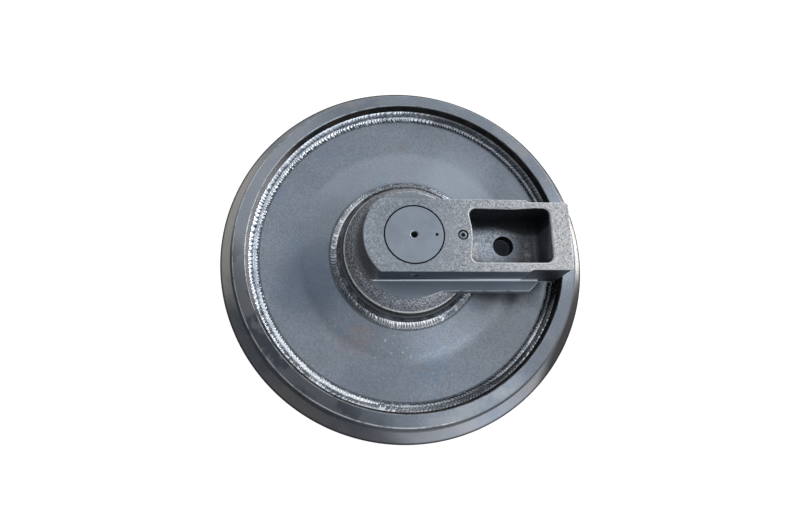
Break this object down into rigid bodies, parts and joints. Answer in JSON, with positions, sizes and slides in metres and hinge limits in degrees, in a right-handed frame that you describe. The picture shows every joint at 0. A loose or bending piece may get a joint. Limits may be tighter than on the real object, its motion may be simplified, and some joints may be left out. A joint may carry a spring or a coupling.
{
  "type": "excavator front idler",
  "caption": "Welded idler wheel with a raised guide flange, turning on a fixed shaft between two cast sliding supports, which steers and tensions a track chain.",
  "frame": {"origin": "centre of the wheel, on the shaft's axis at the middle plane of the rim", "axes": "+Z along the shaft, out of the support that faces up; +X from the shaft to the ends of the support arms; the part lies on the outer face of its lower support"},
  "size_m": [0.5599, 0.56, 0.324],
  "materials": {
    "painted_wheel": "blue-grey paint, half gloss, over rolled and machined steel",
    "weld_bead": "blue-grey paint, glossy, over a rippled weld",
    "painted_casting": "blue-grey paint over rough cast steel with machined ledges",
    "machined_steel": "turned steel, painted over on its visible ends",
    "bush_bronze": "turned bronze, oiled",
    "seal_iron": "cast iron with lapped faces",
    "rubber": "black rubber"
  },
  "bodies": {
    "frame": {"shaft": "machined_steel", "support_top": "painted_casting", "support_bottom": "painted_casting", "fixed_ring_top": "seal_iron", "fixed_ring_bottom": "seal_iron", "fixed_toric_top": "rubber", "fixed_toric_bottom": "rubber", "o_ring_top": "rubber", "o_ring_bottom": "rubber", "lock_pin_top": "machined_steel", "lock_pin_bottom": "machined_steel", "face_plug_top": "machined_steel", "face_plug_bottom": "machined_steel", "oil_plug_top": "machined_steel", "oil_plug_bottom": "machined_steel"},
    "wheel": {"rim": "painted_wheel", "disc_top": "painted_wheel", "disc_bottom": "painted_wheel", "rim_weld_top": "weld_bead", "rim_weld_bottom": "weld_bead", "hub": "painted_wheel", "hub_weld_top": "weld_bead", "hub_weld_bottom": "weld_bead", "bush_top": "bush_bronze", "bush_bottom": "bush_bronze", "turning_ring_top": "seal_iron", "turning_ring_bottom": "seal_iron", "turning_toric_top": "rubber", "turning_toric_bottom": "rubber"}
  },
  "joints": [
    {"name": "wheel_spin", "type": "hinge", "parent": "frame", "child": "wheel", "pos_m": [0, 0, 0], "axis": [0, 0, 1], "continuous": true}
  ]
}
